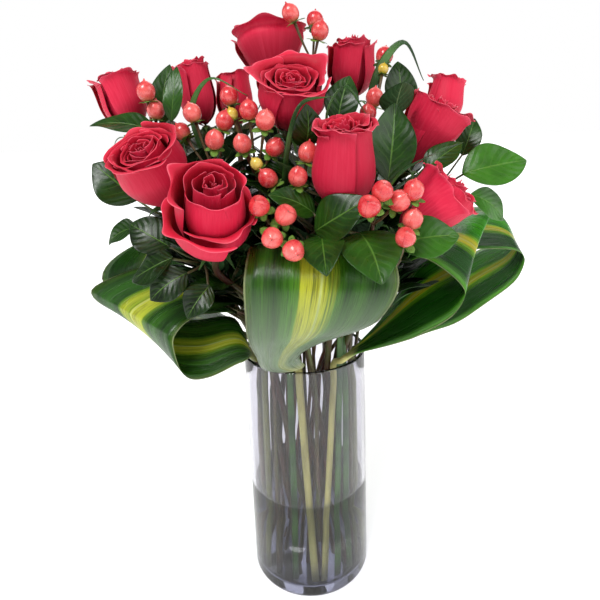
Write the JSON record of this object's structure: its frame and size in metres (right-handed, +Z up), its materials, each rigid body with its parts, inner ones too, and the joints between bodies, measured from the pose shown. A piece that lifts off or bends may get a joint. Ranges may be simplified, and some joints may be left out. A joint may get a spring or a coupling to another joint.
{
  "type": "roses in a vase",
  "caption": "Filled glass cylinder vase: coral-red roses on stems, looped striped leaves round the rim, hypericum berries, dark foliage and lily grass, standing in water.",
  "frame": {"origin": "centre of the vase's flat base, on the surface it stands on", "axes": "+Z up along the vase's axis, -Y towards the front of the arrangement, +X to its right"},
  "size_m": [0.363, 0.2777, 0.4659],
  "materials": {
    "glass": "polished",
    "water": "gloss",
    "stem": "satin",
    "aspidistra": "satin",
    "berry": "gloss",
    "foliage": "satin",
    "grass": "satin",
    "petal": "matte"
  },
  "bodies": {
    "root": {"vase": "glass", "rose_01_stem": "stem", "rose_02_stem": "stem", "rose_03_stem": "stem", "rose_04_stem": "stem", "rose_05_stem": "stem", "rose_06_stem": "stem", "rose_07_stem": "stem", "rose_08_stem": "stem", "rose_09_stem": "stem", "rose_10_stem": "stem", "rose_11_stem": "stem", "rose_12_stem": "stem", "aspidistra_front": "aspidistra", "aspidistra_left": "aspidistra", "aspidistra_left_back": "aspidistra", "aspidistra_right": "aspidistra", "aspidistra_right_back": "aspidistra", "aspidistra_back_right": "aspidistra", "aspidistra_back_left": "aspidistra", "hypericum_01": "berry", "hypericum_02": "berry", "hypericum_03": "berry", "hypericum_04": "berry", "hypericum_05": "berry", "hypericum_06": "berry", "hypericum_07": "berry", "hypericum_08": "berry", "hypericum_09": "berry", "hypericum_10": "berry", "foliage_01": "foliage", "foliage_02": "foliage", "foliage_03": "foliage", "foliage_04": "foliage", "foliage_05": "foliage", "foliage_06": "foliage", "foliage_07": "foliage", "foliage_08": "foliage", "foliage_09": "foliage", "foliage_10": "foliage", "grass_01": "grass", "grass_02": "grass", "grass_03": "grass", "grass_04": "grass", "grass_05": "grass", "rose_01_bloom": "petal", "rose_02_bloom": "petal", "rose_03_bloom": "petal", "rose_04_bloom": "petal", "rose_05_bloom": "petal", "rose_06_bloom": "petal", "rose_07_bloom": "petal", "rose_08_bloom": "petal", "rose_09_bloom": "petal", "rose_10_bloom": "petal", "rose_11_bloom": "petal", "rose_12_bloom": "petal", "water": "water"}
  },
  "joints": []
}
